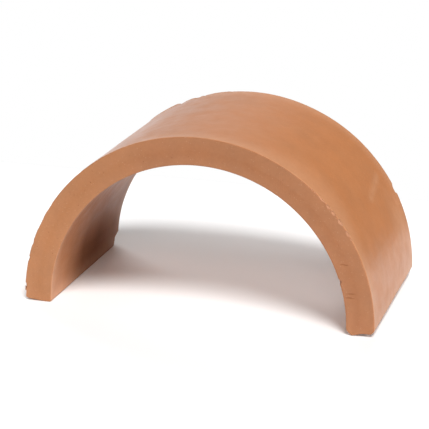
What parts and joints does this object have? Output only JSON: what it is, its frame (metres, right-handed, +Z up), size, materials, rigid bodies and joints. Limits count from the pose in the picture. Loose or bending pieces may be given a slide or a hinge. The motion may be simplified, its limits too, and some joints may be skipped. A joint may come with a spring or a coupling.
{
  "type": "half-round clay ridge tile",
  "caption": "Plain half-round clay ridge tile: a short, thick-walled half barrel of unglazed terracotta standing on its two cut feet.",
  "frame": {"origin": "on the bearing plane under the feet, below the middle of the barrel", "axes": "+Z up through the crown, Y along the barrel's axis with the front end at -Y, +X across the barrel to the right-hand foot"},
  "size_m": [0.25, 0.145, 0.128],
  "materials": {
    "terracotta": "matt unglazed fired clay, orange-buff, with a smooth extruded skin, cut ends and pale dusty arrises"
  },
  "bodies": {
    "root": {"ridge_tile": "terracotta"}
  },
  "joints": []
}
